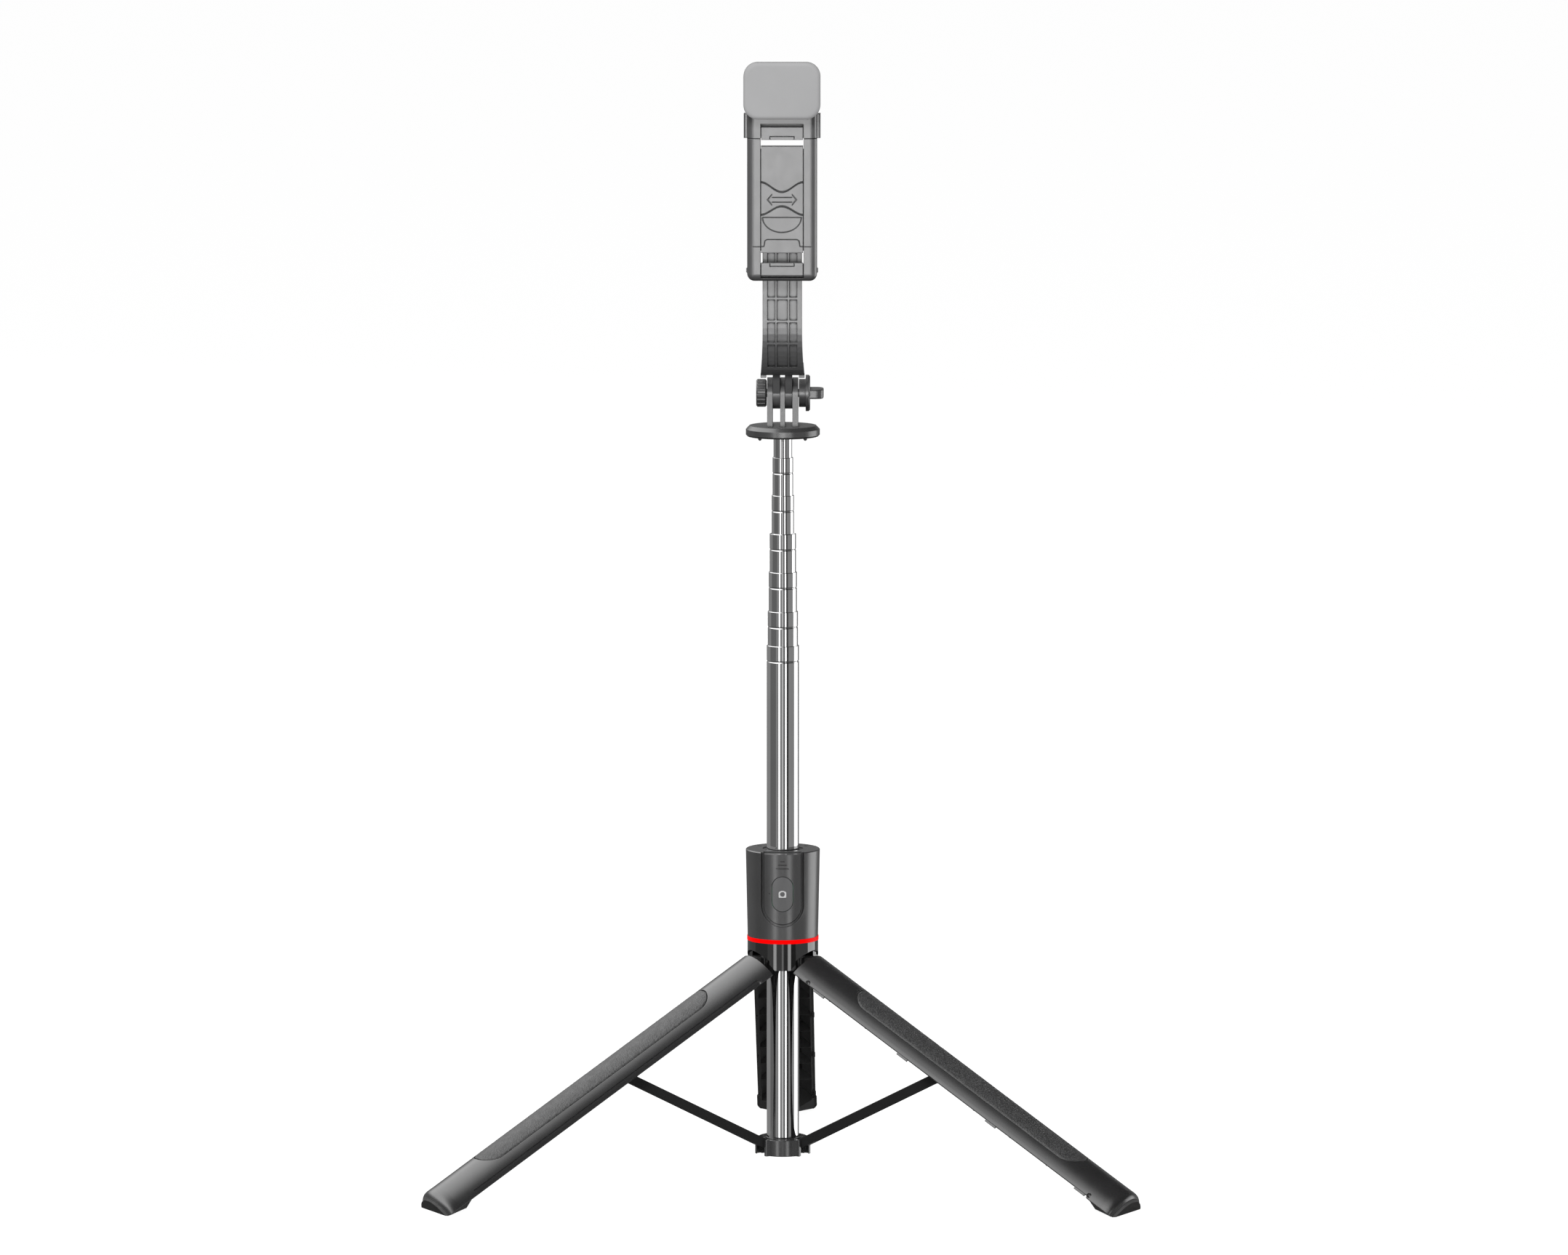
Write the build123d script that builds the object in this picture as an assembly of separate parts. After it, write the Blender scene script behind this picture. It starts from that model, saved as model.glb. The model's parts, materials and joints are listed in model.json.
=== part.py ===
from build123d import *
import math
import os

# Selfie stick on a folding tripod base. Millimetres, +Z up, front of the stick faces -Y.
# The origin is the point of the floor under the mast's axis; the legs are open.

os.makedirs("parts", exist_ok=True)

RUN = 0.05          # radial clearance of a turning or sliding fit

# Legs
LEG_AZIMUTHS = (210, 330, 90)
OPEN_ANGLE = 60     # leg from the mast, open
PIVOT_R = 14.0      # hinge pins from the mast's axis
PIVOT_Z = 133.6
LEG_LENGTH = 262.0  # hinge pin to end of foot
SHELL_TOP = 5.7     # shell's upper end below the pin, folded
SHELL_R = 22.0
SHELL_WALL = 2.0
SHELL_HALF_ANGLE = 59.3
TAB_EDGE_ANGLE = 55.6   # the side edge that carries the tabs
CAVITY_HALF = 15.7      # half width of the hollow inside
FOOT_DEPTH = 1.5        # rubber sole
FOOT_BLOCK = 19.5       # solid end of the leg, sole included
FOOT_ROUND = 10.0       # length of the rounded end
FOOT_DROP = 3.0         # how far the rounded end draws in
SHELL_LIFT = 0.3        # plastic above the floor beside the sole
RIB_START = 34.0
RIB_PITCH = 28.9
RIB_R = 17.6            # ribs behind the strut
RIB_CHORD = 10.2        # rib tops beside the strut
RIB_THICK = 0.8
RIB_COUNT = 7
STEP_START = 15.5       # stepped side edge
STEP_END = 239.0
STEP_DEPTH = 0.8
TAB_PLACES = (26.8, 93.8, 164.3, 234.8)
TAB_LENGTH = 7.9
GRIP_START = 43.0
GRIP_END = 222.0
GRIP_HALF_WIDTH = 11.75
GRIP_GAP = 0.45
GRIP_DEPTH = 1.1
LUG_HALF = 5.0
LUG_EYE_R = 3.4
PIN_R = 1.5

# Spreader
STRUT_ON_LEG = 118.0
STRUT_LENGTH = 115.0
STRUT_THICK = 5.5
STRUT_HALF = 4.5
FOOT_PIN_R = 1.0    # trunnions in the collar
COLLAR_R = 15.2
COLLAR_BOTTOM = 14.6
COLLAR_TOP = 24.7
COLLAR_WELL = 1.5   # depth of the ring-shaped well in its top
EAR_INNER = 4.8
EAR_OUTER = 7.0
EAR_REACH = 15.6

# Hub
YOKE_R = 21.5
YOKE_BOTTOM = 130.0
YOKE_TOP = 146.4
RING_TOP = 148.8
HOUSING_TOP = 202.1
HOUSING_R_LOW = 21.4
HOUSING_R_HIGH = 22.5

# Mast: outer diameter and top edge of each section, from the outermost inwards
TUBE_DIAMETERS = (19.6, 18.4, 17.2, 16.0, 13.6, 12.5, 11.3)
TUBE_TOPS = (326.3, 347.1, 371.0, 394.3, 417.6, 440.6, 453.5)
TUBE_WALL = 0.4
TUBE_FOOT = 17.6
GROOVE_DROP = 9.5   # rolled groove below each top edge
BUSH_FLANGE = 4.0
BUSH_SPIGOT = 6.0
STOP_LEFT = 1.5     # step left standing when a section is pushed home

# Head
DISC_BOTTOM = 453.5
DISC_TOP = 460.0
DISC_R = 22.35
TILT_Z = 479.6
KNUCKLE_R = 9.5
BUMP_R = 1.1              # rounded stops under the disc
BUMP_REACH = 19.3
BOLT_R = 2.5
PRONGS = ((-9.4, -6.05), (-1.5, 1.3), (5.85, 9.3))
KNUCKLES = ((-5.95, -1.6), (1.4, 5.75))

# Arm and phone clamp
ARM_HALF = 11.8
CHEEK_HALF = 13.2         # half width where the arm flares to its lower end
CHEEK_LOW = 12.0          # heights over the tilt axis between which it flares
CHEEK_HIGH = 41.0
ARM_FRONT = -31.0
ARM_BACK = -26.0
SWIVEL_Z = 599.2
POCKET_DEPTH = 1.5
CLAMP_FRONT = -43.0
CLAMP_BACK = -32.0
FRAME_HALF = 20.9
SIDE_ROUND = 4.3     # rounding of the long front edges
WINDOW_HALF = 12.9
FRAME_BOTTOM = 550.8
FRAME_TOP = 636.1
SEAM_Z = 571.4
PLATE_BOTTOM = 567.9
LENS_TOP = 589.3
LENS_DEPTH = 9.4
SLEEVE_BOTTOM = 636.4
SLEEVE_TOP = 651.0
SLEEVE_HALF = 22.95
CLAW_HALF = 12.45
CLAW_PIN_Y = -41.3
CLAW_PIN_UP = 642.6
CLAW_PIN_LOW = 554.8
CLAW_REACH = 7.1

# Fill light
LAMP_HALF = 22.95
LAMP_BOTTOM = 648.4
LAMP_TOP = 682.3
LAMP_FRONT = -54.0
LAMP_SPLIT = -47.6
LAMP_BACK = -43.5
LAMP_CORNER = 8.6
LAMP_EDGE = 2.4      # rounding of the diffuser's front edge
LAMP_HINGE_Y = -37.3
LAMP_HINGE_Z = 653.2

# Remote
LEDGE_WIDTH = 1.6    # sunken rim around the remote
LEDGE_DEPTH = 0.7
REMOTE_HALF = 11.2
REMOTE_BOTTOM = 158.5
REMOTE_TOP = 201.2
REMOTE_FRONT_R = 21.6
REMOTE_SPLIT = -16.6
REMOTE_BACK = -13.4
BUTTON_HALF = 6.25
BUTTON_LOW = 166.5
BUTTON_HIGH = 187.5
BUTTON_GAP = 0.3


def save(name, *solids):
    pieces = []
    for shape in solids:
        pieces.extend(shape.solids())
    whole = pieces[0] if len(pieces) == 1 else Compound(children=pieces)
    export_step(whole, f"parts/{name}.step")


def slab(x0, x1, y0, y1, z0, z1):
    middle = Location(((x0 + x1) / 2, (y0 + y1) / 2, (z0 + z1) / 2))
    return middle * Box(x1 - x0, y1 - y0, z1 - z0)


def rod_z(radius, z0, z1, x=0.0, y=0.0):
    return Location((x, y, (z0 + z1) / 2)) * Cylinder(radius, z1 - z0)


def rod_x(radius, x0, x1, y, z):
    return Location(((x0 + x1) / 2, y, z), (0, 90, 0)) * Cylinder(radius, x1 - x0)


def rod_y(radius, y0, y1, x, z):
    return Location((x, (y0 + y1) / 2, z), (90, 0, 0)) * Cylinder(radius, y1 - y0)


def pipe(r_out, r_in, z0, z1):
    return rod_z(r_out, z0, z1) - rod_z(r_in, z0 - 1, z1 + 1)


def turned(points):
    """Solid of revolution about Z from its outline of (radius, z) points."""
    outline = Polyline(*[(r, 0, z) for r, z in points], close=True)
    return revolve(make_face(outline), Axis.Z)


def wedge(half_angle, z0, z1, reach=40.0):
    """Slice of the space about +X, half_angle to each side of it."""
    a = math.radians(half_angle)
    corners = [(0, 0), (reach, -reach * math.tan(a) if half_angle < 80 else -reach)]
    corners.append((corners[1][0], -corners[1][1]))
    face = make_face(Polyline(*corners, close=True))
    return Location((0, 0, z0)) * extrude(face, z1 - z0)


def extrude_x(points, x0, x1):
    """Prism along X over an outline of (y, z) points."""
    face = make_face(Polyline(*[(x0, y, z) for y, z in points], close=True))
    return extrude(face, x1 - x0, dir=(1, 0, 0))


def extrude_y(points, y0, y1):
    """Prism along Y over an outline of (x, z) points."""
    face = make_face(Polyline(*[(x, y0, z) for x, z in points], close=True))
    return extrude(face, y1 - y0, dir=(0, 1, 0))


def stadium_x(half_width, z0, z1, x0, x1):
    """Upright slot shape with round ends, facing X."""
    middle = slab(x0, x1, -half_width, half_width, z0 + half_width, z1 - half_width)
    low = rod_x(half_width, x0, x1, 0, z0 + half_width)
    high = rod_x(half_width, x0, x1, 0, z1 - half_width)
    return middle + low + high


def stadium_y(half_width, z0, z1, y0, y1):
    """Upright slot shape with round ends, facing Y."""
    middle = slab(-half_width, half_width, y0, y1, z0 + half_width, z1 - half_width)
    low = rod_y(half_width, y0, y1, 0, z0 + half_width)
    high = rod_y(half_width, y0, y1, 0, z1 - half_width)
    return middle + low + high


def u_shape(half_width, z0, z1, y0, y1):
    """Upright shape with a full-round lower end, facing Y."""
    upper = slab(-half_width, half_width, y0, y1, z0 + half_width, z1)
    return upper + rod_y(half_width, y0, y1, 0, z0 + half_width)


def rounded_y(half_width, z0, z1, y0, y1, corner):
    """Block with its four upright-plane corners rounded, facing Y."""
    block = slab(-half_width, half_width, y0, y1, z0, z1)
    return fillet(block.edges().filter_by(Axis.Y), corner)


# A leg is drawn folded, +X outwards, the mast's axis on Z and its hinge pin at height 0.

def place_on_leg(shape, azimuth):
    """Open a folded leg's part by the open angle and carry it to its azimuth."""
    opened = shape.rotate(Axis((PIVOT_R, 0, 0), (0, 1, 0)), -OPEN_ANGLE)
    return Location((0, 0, PIVOT_Z)) * opened.rotate(Axis.Z, azimuth)


def floor_tool(lift):
    """Everything under the floor plus lift, as the folded leg sees it when it stands open."""
    tool = slab(-400, 400, -60, 60, -80, lift)
    tool = Location((0, 0, -PIVOT_Z)) * tool
    return tool.rotate(Axis((PIVOT_R, 0, 0), (0, 1, 0)), OPEN_ANGLE)


def foot_block():
    """Solid end of the leg: a slice of a rod with a rounded end."""
    end = -LEG_LENGTH
    start = end + FOOT_ROUND
    top = end + FOOT_BLOCK
    outline = [
        Line((0, 0, end), (SHELL_R - FOOT_DROP, 0, end)),
        Spline(
            (SHELL_R - FOOT_DROP, 0, end),
            (SHELL_R - 0.3 * FOOT_DROP, 0, end + 0.29 * FOOT_ROUND),
            (SHELL_R, 0, start),
            tangents=((0.25, 0, 1), (0, 0, 1)),
        ),
        Line((SHELL_R, 0, start), (SHELL_R, 0, top)),
        Line((SHELL_R, 0, top), (0, 0, top)),
        Line((0, 0, top), (0, 0, end)),
    ]
    rod = revolve(make_face(outline), Axis.Z) - rod_z(1.2, end - 1, top + 1)
    return rod & wedge(SHELL_HALF_ANGLE, end - 1, 0)


def sole_zone():
    return slab(-10, 30, -30, 30, -LEG_LENGTH - 1, -LEG_LENGTH + FOOT_DEPTH)


def side_strip(inner_angle, outer_angle, side, z0, z1):
    """Strip along one side edge of the leg; side is +1 or -1."""
    strip = wedge(outer_angle, z0, z1) - wedge(inner_angle, z0 - 1, z1 + 1)
    half = slab(0, 40, 0, 40 * side, z0, z1) if side > 0 else slab(0, 40, -40, 0, z0, z1)
    return strip & half


def leg_shell():
    bottom = -LEG_LENGTH + FOOT_BLOCK
    inner_r = SHELL_R - SHELL_WALL
    skin = rod_z(SHELL_R, bottom - 0.5, -SHELL_TOP) & wedge(SHELL_HALF_ANGLE, bottom - 0.5, -SHELL_TOP)
    cavity = rod_z(inner_r, bottom, 0) & slab(-30, 30, -CAVITY_HALF, CAVITY_HALF, bottom, 0)
    skin -= cavity
    for k in range(RIB_COUNT):
        z = -RIB_START - k * RIB_PITCH
        z0, z1 = z - RIB_THICK / 2, z + RIB_THICK / 2
        rib = slab(RIB_CHORD, SHELL_R, -CAVITY_HALF, CAVITY_HALF, z0, z1)
        channel = slab(0, SHELL_R, -6.8, 6.8, z0 - 1, z1 + 1) & rod_z(RIB_R, z0 - 1, z1 + 1)
        skin += (rib - channel) & rod_z(inner_r + 0.5, z0, z1)
    # the side edge that carries the tabs is set back
    skin -= side_strip(TAB_EDGE_ANGLE, SHELL_HALF_ANGLE + 3, -1, -STEP_END - 1.5, 0)
    for place in TAB_PLACES:
        z0, z1 = -place - TAB_LENGTH / 2, -place + TAB_LENGTH / 2
        strip = side_strip(TAB_EDGE_ANGLE - 1, SHELL_HALF_ANGLE - 0.1, -1, z0, z1)
        skin += strip & pipe(SHELL_R - 0.5, SHELL_R - 1.9, z0, z1)
    # the other side edge is stepped, with sockets for a neighbour's tabs
    strip = side_strip(SHELL_HALF_ANGLE - 8.6, SHELL_HALF_ANGLE + 3, 1, -STEP_END, -STEP_START)
    skin -= strip & pipe(SHELL_R + 1, SHELL_R - STEP_DEPTH, -STEP_END, -STEP_START)
    a = math.radians(SHELL_HALF_ANGLE)
    for place in TAB_PLACES:
        spot = Location((20.0 * math.cos(a), 20.0 * math.sin(a), -place), (0, 0, SHELL_HALF_ANGLE))
        skin -= spot * Box(1.2, 1.6, 4.0)
    # thumb dimples at the ends of the side edges
    for angle, place in ((-54.0, 17.0), (-54.0, 241.5), (56.5, STEP_START)):
        a = math.radians(angle)
        skin -= Location((22.4 * math.cos(a), 22.4 * math.sin(a), -place)) * Sphere(1.6)
    skin += foot_block() - sole_zone() - floor_tool(SHELL_LIFT)
    # hinge lug
    lug = extrude_y([
        (PIVOT_R - 3.2, 0), (PIVOT_R - 2.6, -4), (17.2, -24), (21, -24),
        (21, -SHELL_TOP), (PIVOT_R + 3.3, 0.6),
    ], -LUG_HALF, LUG_HALF)
    lug += rod_y(LUG_EYE_R, -LUG_HALF, LUG_HALF, PIVOT_R, 0)
    skin += lug
    skin -= rod_y(PIN_R + RUN, -LUG_HALF - 1, LUG_HALF + 1, PIVOT_R, 0)
    # two ears that carry the strut's upper trunnions
    for side in (-1, 1):
        low, high = sorted((side * EAR_INNER, side * (EAR_OUTER + 0.2)))
        ear = slab(PIVOT_R, 20.6, low, high, -STRUT_ON_LEG - 3, -STRUT_ON_LEG + 3)
        ear += rod_y(3, low, high, PIVOT_R, -STRUT_ON_LEG)
        skin += ear
    skin -= rod_y(PIN_R + RUN, -6.7, 6.7, PIVOT_R, -STRUT_ON_LEG)
    # recess of the grip pad
    reach = GRIP_HALF_WIDTH + GRIP_GAP
    pad = stadium_x(reach, -GRIP_END - GRIP_GAP, -GRIP_START + GRIP_GAP, 12, 30)
    skin -= pad & pipe(SHELL_R + 1, SHELL_R - GRIP_DEPTH, -LEG_LENGTH, 0)
    return skin


def grip_pad():
    pad = stadium_x(GRIP_HALF_WIDTH, -GRIP_END, -GRIP_START, 12, 30)
    return pad & pipe(SHELL_R + 0.1, SHELL_R - GRIP_DEPTH + 0.02, -LEG_LENGTH, 0)


def foot_pad():
    return (foot_block() & sole_zone()) - floor_tool(0)


def strut():
    """Drawn folded: both eyes on the line x = PIVOT_R."""
    top = -STRUT_ON_LEG
    low = top - STRUT_LENGTH
    half = STRUT_THICK / 2
    bar = slab(PIVOT_R - half, PIVOT_R + half, -STRUT_HALF, STRUT_HALF, low, top)
    bar += rod_y(half, -STRUT_HALF, STRUT_HALF, PIVOT_R, low)
    bar += rod_y(half, -STRUT_HALF, STRUT_HALF, PIVOT_R, top)
    web = slab(PIVOT_R + 0.8, PIVOT_R + half + 1, -3.2, 3.2, low + 8, top - 8)
    bar -= web
    bar += rod_y(FOOT_PIN_R, -6.5, 6.5, PIVOT_R, low)
    bar += rod_y(PIN_R, -6.5, 6.5, PIVOT_R, top)
    return bar


def strut_open_angle():
    """Angle of the open strut from its own leg, folded being 0."""
    across = STRUT_ON_LEG * math.sin(math.radians(OPEN_ANGLE))
    return OPEN_ANGLE + math.degrees(math.asin(across / STRUT_LENGTH))


def collar_pivot_height():
    lean = math.radians(strut_open_angle() - OPEN_ANGLE)
    drop = STRUT_ON_LEG * math.cos(math.radians(OPEN_ANGLE)) + STRUT_LENGTH * math.cos(lean)
    return PIVOT_Z - drop


def make_legs():
    shell = leg_shell()
    pad = grip_pad()
    foot = foot_pad()
    bar = strut()
    swung = bar.rotate(Axis((PIVOT_R, 0, -STRUT_ON_LEG), (0, 1, 0)), strut_open_angle())
    for number, azimuth in enumerate(LEG_AZIMUTHS, start=1):
        save(f"leg_{number}_shell", place_on_leg(shell, azimuth))
        save(f"leg_{number}_grip", place_on_leg(pad, azimuth))
        save(f"leg_{number}_foot", place_on_leg(foot, azimuth))
        save(f"strut_{number}", place_on_leg(swung, azimuth))


def slot_tool(azimuth, half, r0, r1, z0, z1):
    return slab(r0, r1, -half, half, z0, z1).rotate(Axis.Z, azimuth)


def make_collar():
    z = collar_pivot_height()
    tube_r = TUBE_DIAMETERS[0] / 2
    collar = rod_z(COLLAR_R, COLLAR_BOTTOM, COLLAR_TOP)
    rims = collar.edges().filter_by(GeomType.CIRCLE)
    collar = chamfer(rims, 0.4)
    for azimuth in LEG_AZIMUTHS:
        ears = slot_tool(azimuth, EAR_OUTER, 5, EAR_REACH, COLLAR_BOTTOM, COLLAR_TOP)
        outer = [e for e in ears.edges().filter_by(Axis.Z) if math.hypot(e.center().X, e.center().Y) > 15]
        collar += chamfer(outer, 0.4)
    collar -= rod_z(tube_r, 0, 40)
    collar -= pipe(COLLAR_R - 1.2, tube_r + 0.8, COLLAR_TOP - COLLAR_WELL, 40)
    for azimuth in LEG_AZIMUTHS:
        collar -= slot_tool(azimuth, EAR_INNER, 10.2, 30, 10, 40)
        collar -= slot_tool(azimuth, 6.6, 11.9, PIVOT_R + FOOT_PIN_R + 0.12, 10, z + FOOT_PIN_R + 0.12)
    save("spreader_collar", collar)
    plug = rod_z(tube_r, COLLAR_BOTTOM, TUBE_FOOT)
    plug += rod_z(tube_r - TUBE_WALL, TUBE_FOOT, TUBE_FOOT + BUSH_SPIGOT)
    save("collar_plug", plug - rod_z(3, 10, 40))


def tube_foot(index):
    """Lower end of a section and of its bush at the drawn extension."""
    foot = TUBE_FOOT
    for k in range(1, index + 1):
        spigot_top = foot + BUSH_SPIGOT
        home = TUBE_TOPS[k] - TUBE_TOPS[k - 1] - STOP_LEFT
        foot = spigot_top + 0.5 + home + BUSH_FLANGE
    return foot


def make_mast():
    for index, diameter in enumerate(TUBE_DIAMETERS):
        radius = diameter / 2
        foot = tube_foot(index)
        top = TUBE_TOPS[index]
        tube = pipe(radius, radius - TUBE_WALL, foot, top)
        if index < 6:
            rim = tube.edges().filter_by(GeomType.CIRCLE).sort_by(Axis.Z)[-2:]
            outer_rim = sorted(rim, key=lambda e: e.length)[-1]
            tube = chamfer(outer_rim, 0.2)
            z = top - GROOVE_DROP
            tube -= pipe(radius + 1, radius - 0.22, z - 0.45, z + 0.45)
        save(f"mast_tube_{index + 1}", tube)
        if index > 0:
            outer_bore = TUBE_DIAMETERS[index - 1] / 2 - TUBE_WALL
            bush = rod_z(outer_bore - RUN, foot - BUSH_FLANGE, foot)
            bush += rod_z(radius - TUBE_WALL, foot, foot + BUSH_SPIGOT)
            save(f"tube_bush_{index + 1}", bush - rod_z(2.2, 0, 500))


def make_hub():
    # glossy yoke with three clevises
    yoke = pipe(YOKE_R, 19.3, YOKE_BOTTOM, YOKE_TOP)
    yoke += pipe(YOKE_R, 10.4, 141.5, YOKE_TOP)
    arch = Location((0, 0, PIVOT_Z - 12.0)) * rod_x(19.4, 16.9, 40, 0, 0)
    for azimuth in LEG_AZIMUTHS:
        yoke -= arch.rotate(Axis.Z, azimuth)
    for azimuth in LEG_AZIMUTHS:
        clevis = slab(10.6, 18.2, -9, 9, PIVOT_Z, YOKE_TOP)
        clevis += rod_y(4.2, -9, 9, PIVOT_R, PIVOT_Z)
        clevis += slab(PIVOT_R - 3.4, PIVOT_R + 4.1, -9, 9, PIVOT_Z - 1.0, PIVOT_Z + 3)
        clevis -= slab(0, 40, -LUG_HALF - 0.3, LUG_HALF + 0.3, 120, 141.5)
        clevis -= rod_z(10.4, 100, 160)
        clevis -= rod_y(PIN_R, -12, 12, PIVOT_R, PIVOT_Z)
        yoke += clevis.rotate(Axis.Z, azimuth)
    save("leg_yoke", yoke)
    pin = rod_y(PIN_R, -9, 9, PIVOT_R, PIVOT_Z)
    save("leg_hinge_pins", *[pin.rotate(Axis.Z, a) for a in LEG_AZIMUTHS])
    save("accent_ring", pipe(21.7, 13.0, YOKE_TOP, RING_TOP))

    # guide bushes for the outer tube
    bore = TUBE_DIAMETERS[0] / 2 + RUN
    low = pipe(12.3, bore, YOKE_TOP, 158)
    high = pipe(12.3, bore, 190, HOUSING_TOP - 0.6)
    save("guide_bushes", low, high)

    housing = turned([
        (12.3, RING_TOP), (HOUSING_R_LOW, RING_TOP), (HOUSING_R_HIGH, HOUSING_TOP - 0.5),
        (HOUSING_R_HIGH - 0.5, HOUSING_TOP), (12.3, HOUSING_TOP),
    ])
    # hollow back of the moulding, open below
    hollow = pipe(19.4, 14.3, RING_TOP - 1, HOUSING_TOP - 3)
    front = wedge(66, 100, 220).rotate(Axis.Z, -90)
    housing -= hollow - front
    # pocket of the remote with its sunken rim
    rim = REMOTE_HALF + 0.3
    housing -= u_shape(rim, REMOTE_BOTTOM - 0.3, 230, -30, REMOTE_BACK + 0.3)
    ledge = u_shape(rim + LEDGE_WIDTH, REMOTE_BOTTOM - 0.3 - LEDGE_WIDTH, 230, -30, -10)
    housing -= ledge & pipe(30, HOUSING_R_LOW - LEDGE_DEPTH, 100, 230)
    screws = []
    for azimuth in (35, 145):
        x = 17.2 * math.cos(math.radians(azimuth))
        y = 17.2 * math.sin(math.radians(azimuth))
        housing -= rod_z(1.5, HOUSING_TOP - 1.0, 220, x, y)
        housing -= rod_z(0.8, HOUSING_TOP - 9, 220, x, y)
        screw = rod_z(1.4, HOUSING_TOP - 1.0, HOUSING_TOP - 0.3, x, y)
        screw += rod_z(0.8, HOUSING_TOP - 8, HOUSING_TOP - 1.0, x, y)
        screw -= slab(x - 0.2, x + 0.2, y - 1, y + 1, HOUSING_TOP - 0.7, HOUSING_TOP)
        screw -= slab(x - 1, x + 1, y - 0.2, y + 0.2, HOUSING_TOP - 0.7, HOUSING_TOP)
        screws.append(screw)
    save("dock_housing", housing)
    save("cover_screws", *screws)


def make_remote():
    body = u_shape(REMOTE_HALF, REMOTE_BOTTOM, REMOTE_TOP, -30, REMOTE_BACK)
    body = body & rod_z(REMOTE_FRONT_R, 100, 230)
    shell = body - slab(-30, 30, REMOTE_SPLIT, 0, 100, 230)
    room = u_shape(REMOTE_HALF - 1.2, REMOTE_BOTTOM + 1.2, REMOTE_TOP - 1.2, -30, 0)
    shell -= room & rod_z(REMOTE_FRONT_R - 1.3, 100, 230)
    well = stadium_y(BUTTON_HALF + BUTTON_GAP, BUTTON_LOW - BUTTON_GAP, BUTTON_HIGH + BUTTON_GAP, -40, -10)
    shell -= well
    for k, half in enumerate((3.85, 2.45, 1.2)):
        z = 192.5 + 2.2 * k
        shell -= slab(-half, half, -REMOTE_FRONT_R - 1, -REMOTE_FRONT_R + 0.5, z - 0.25, z + 0.25)
    shell -= rod_y(0.35, -REMOTE_FRONT_R - 1, -REMOTE_FRONT_R + 2, -7.9, 177)
    save("remote_shell", shell)
    back = body & slab(-30, 30, REMOTE_SPLIT, REMOTE_BACK, 100, 230)
    back -= u_shape(REMOTE_HALF - 1.2, REMOTE_BOTTOM + 1.2, REMOTE_TOP - 1.2, -30, REMOTE_BACK - 1)
    save("remote_back", back)
    cell = rod_y(9.9, -17.6, -14.4, 0, 171.2)
    save("coin_cell", cell)
    board = u_shape(REMOTE_HALF - 1.4, REMOTE_BOTTOM + 1.4, REMOTE_TOP - 1.4, -18.4, -17.6)
    board = board & rod_z(REMOTE_FRONT_R - 1.6, 100, 230)
    save("remote_board", board)
    cap = stadium_y(BUTTON_HALF, BUTTON_LOW, BUTTON_HIGH, -30, -19.6)
    cap = cap & rod_z(REMOTE_FRONT_R + 0.12, 100, 230)
    save("shutter_button", cap)


def make_head():
    disc = turned([
        (0, DISC_BOTTOM), (DISC_R - 1, DISC_BOTTOM), (DISC_R, DISC_BOTTOM + 1),
        (DISC_R, DISC_BOTTOM + 4.3), (DISC_R - 2.1, DISC_TOP), (0, DISC_TOP),
    ])
    for x0, x1 in PRONGS:
        prong = slab(x0, x1, -KNUCKLE_R, KNUCKLE_R, DISC_TOP - 1, TILT_Z)
        prong += rod_x(KNUCKLE_R, x0, x1, 0, TILT_Z)
        disc += prong
    for azimuth in (45, 135, 225, 315):
        x = BUMP_REACH * math.cos(math.radians(azimuth))
        y = BUMP_REACH * math.sin(math.radians(azimuth))
        disc += rod_z(BUMP_R, DISC_BOTTOM - 0.4, DISC_BOTTOM + 1, x, y)
        disc += Pos(x, y, DISC_BOTTOM - 0.4) * Sphere(BUMP_R)
    disc += slab(-1, 1, -6.9, -5.9, DISC_BOTTOM - 2.6, DISC_BOTTOM + 1)
    disc -= rod_x(BOLT_R + RUN, -20, 20, 0, TILT_Z)
    stud = rod_z(TUBE_DIAMETERS[6] / 2 - TUBE_WALL - RUN, DISC_BOTTOM - 14, DISC_BOTTOM)
    save("head_stud", stud)
    save("mount_disc", disc)

    nut = rod_x(8.4, -16, -9.75, 0, TILT_Z)
    nut = chamfer(nut.edges().filter_by(GeomType.CIRCLE), 0.8)
    for k in range(18):
        angle = math.radians(20 * k)
        y = 8.7 * math.cos(angle)
        z = TILT_Z + 8.7 * math.sin(angle)
        nut -= rod_x(0.75, -17, -10.6, y, z)
    nut -= rod_x(BOLT_R + RUN, -20, 0, 0, TILT_Z)
    save("knurled_nut", nut)

    knob = rod_x(8.5, 9.7, 13.8, 0, TILT_Z)
    knob += rod_x(11, 13.8, 16.4, 0, TILT_Z)
    knob = chamfer(knob.edges().filter_by(GeomType.CIRCLE).sort_by(Axis.X)[-1], 0.8)
    wing = slab(16, 24.6, -10.2, 10.2, TILT_Z - 2.8, TILT_Z + 2.8)
    wing = fillet(wing.edges().filter_by(Axis.Z).sort_by(Axis.X)[-2:], 5.0)
    wing = fillet(wing.faces().sort_by(Axis.X)[-1].edges(), 0.9)
    knob += wing
    knob -= rod_x(BOLT_R, 0, 20, 0, TILT_Z)
    save("wing_knob", knob)
    save("tilt_bolt", rod_x(BOLT_R, -15.4, 20, 0, TILT_Z))


def arm_outline():
    """Side outline of the arm's band: (y, height over the tilt axis)."""
    top = SWIVEL_Z - TILT_Z
    upper = [(ARM_BACK, top), (ARM_BACK, 46), (-22.9, 30), (-22.9, 19.5), (-11, 19.5), (-11, 12.6)]
    curve = []
    for k in range(0, 13):
        angle = math.radians(90 * k / 12)
        curve.append((-13 - 18 * math.sin(angle), 42 - 30 * math.cos(angle)))
    return upper + curve + [(ARM_FRONT, top)]


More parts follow.
